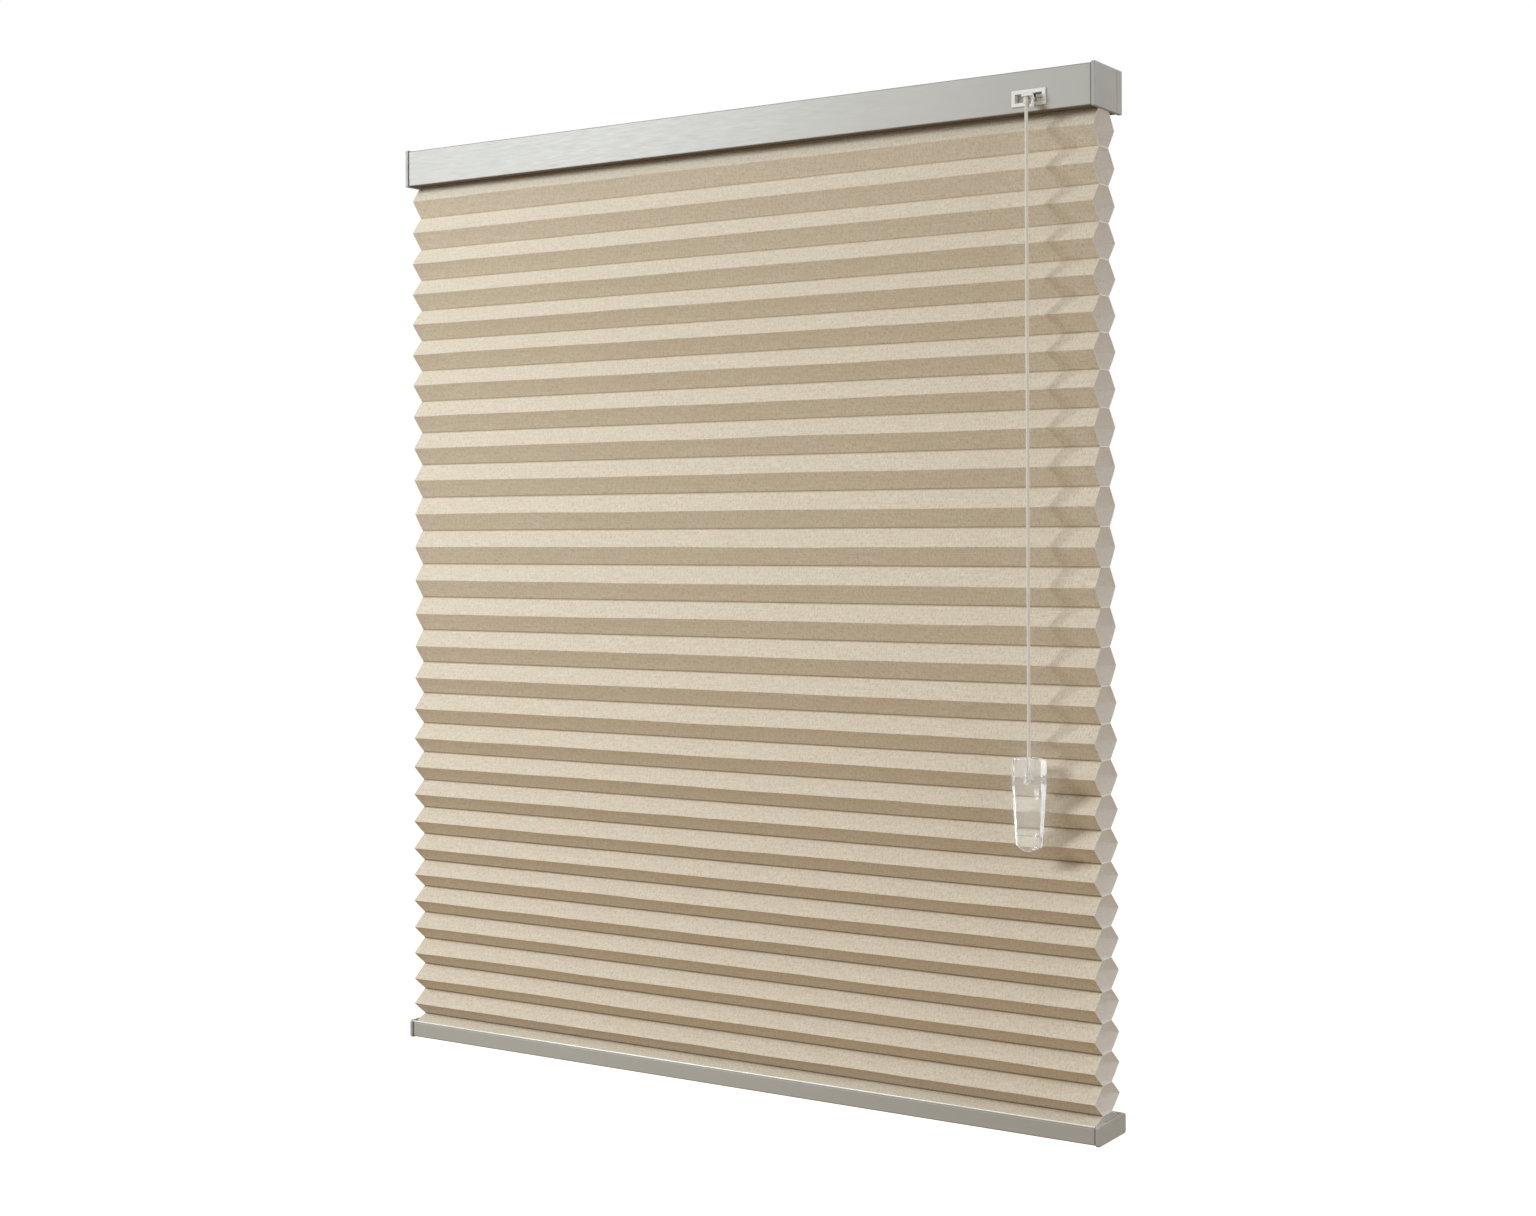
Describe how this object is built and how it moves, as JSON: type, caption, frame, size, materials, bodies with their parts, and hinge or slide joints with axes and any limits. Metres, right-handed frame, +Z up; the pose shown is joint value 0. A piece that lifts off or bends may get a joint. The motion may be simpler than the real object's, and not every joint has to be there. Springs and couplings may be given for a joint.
{
  "type": "honeycomb blind",
  "caption": "Single-cell honeycomb pleated blind on a box headrail, with a retractable pull cord, clear handle and weighted bottom rail.",
  "frame": {"origin": "centre of the headrail's flat top face", "axes": "+X along the blind to its right end seen from the room, -Y towards the room, +Z up"},
  "size_m": [0.8, 0.0741, 0.9476],
  "materials": {
    "rail_aluminium": "satin anodised, fine lengthwise brushing",
    "cap_plastic": "grey moulded, slight sheen",
    "strip_plastic": "extruded, matt",
    "outlet_plastic": "moulded, light grey, semi-gloss",
    "mechanism_plastic": "moulded, white",
    "steel": "zinc plated",
    "pull_cord": "braided, off-white",
    "lift_cord": "thin braided cord",
    "clear_acrylic": "clear, polished",
    "cell_fabric": "beige linen-look nonwoven, white backed"
  },
  "bodies": {
    "root": {"headrail": "rail_aluminium", "headrail_cap_left": "cap_plastic", "headrail_cap_right": "cap_plastic", "fabric_top_strip": "strip_plastic", "outlet_bezel": "outlet_plastic", "outlet_pin": "steel", "spool_cradle_left": "mechanism_plastic", "spool_cradle_right": "mechanism_plastic", "clutch_housing": "mechanism_plastic", "retractor_axle": "steel", "retractor_housing": "mechanism_plastic", "retractor_cover": "mechanism_plastic", "retractor_spring": "steel", "honeycomb_fabric": "cell_fabric", "lift_cord_left": "lift_cord", "lift_cord_right": "lift_cord", "pull_cord": "pull_cord"},
    "bottom_rail": {"bottom_rail": "rail_aluminium", "bottom_rail_cap_left": "cap_plastic", "bottom_rail_cap_right": "cap_plastic", "fabric_bottom_strip": "strip_plastic", "ballast_bar": "steel", "lift_cord_stop_left": "mechanism_plastic", "lift_cord_stop_right": "mechanism_plastic"},
    "lift_shaft": {"lift_shaft": "rail_aluminium", "lift_spool_left": "mechanism_plastic", "lift_spool_right": "mechanism_plastic", "clutch_drum": "mechanism_plastic"},
    "pull": {"pull_handle": "clear_acrylic", "pull_cord_knot": "pull_cord"},
    "retractor": {"retractor_spool": "mechanism_plastic", "pull_cord_winding": "pull_cord"},
    "outlet_roller": {"outlet_roller": "outlet_plastic"},
    "shift_lever": {"shift_lever": "outlet_plastic"}
  },
  "joints": [
    {"name": "raise", "type": "slide", "parent": "root", "child": "bottom_rail", "axis": [0, 0, 1], "range_m": [0, 0.83], "deforming": ["honeycomb_fabric", "lift_cord_left", "lift_cord_right"]},
    {"name": "lift_shaft_spin", "type": "hinge", "parent": "root", "child": "lift_shaft", "pos_m": [0, 0.0104, -0.0155], "axis": [1, 0, 0], "range_deg": [-4600, 0]},
    {"name": "pull_down", "type": "slide", "parent": "root", "child": "pull", "axis": [0, 0, -1], "range_m": [0, 0.45], "stiffness_N_per_m": 5, "springref_m": -0.3, "deforming": ["pull_cord"]},
    {"name": "retractor_spin", "type": "hinge", "parent": "root", "child": "retractor", "pos_m": [0.3382, 0.0104, -0.0155], "axis": [1, 0, 0], "range_deg": [-2900, 0]},
    {"name": "outlet_roller_spin", "type": "hinge", "parent": "root", "child": "outlet_roller", "pos_m": [0.3382, -0.0335, -0.0288], "axis": [1, 0, 0], "range_deg": [0, 6100]},
    {"name": "shift_lever_swivel", "type": "hinge", "parent": "root", "child": "shift_lever", "pos_m": [0.3442, -0.0335, -0.0288], "axis": [1, 0, 0], "range_deg": [0, 25], "stiffness_Nm_per_rad": 0.02, "springref_deg": -20.05}
  ],
  "couplings": [
    {"joint": "lift_shaft_spin", "follows": "raise", "rad_per_m": -96.154},
    {"joint": "retractor_spin", "follows": "pull_down", "rad_per_m": -111.11},
    {"joint": "outlet_roller_spin", "follows": "pull_down", "rad_per_m": 232.56}
  ]
}
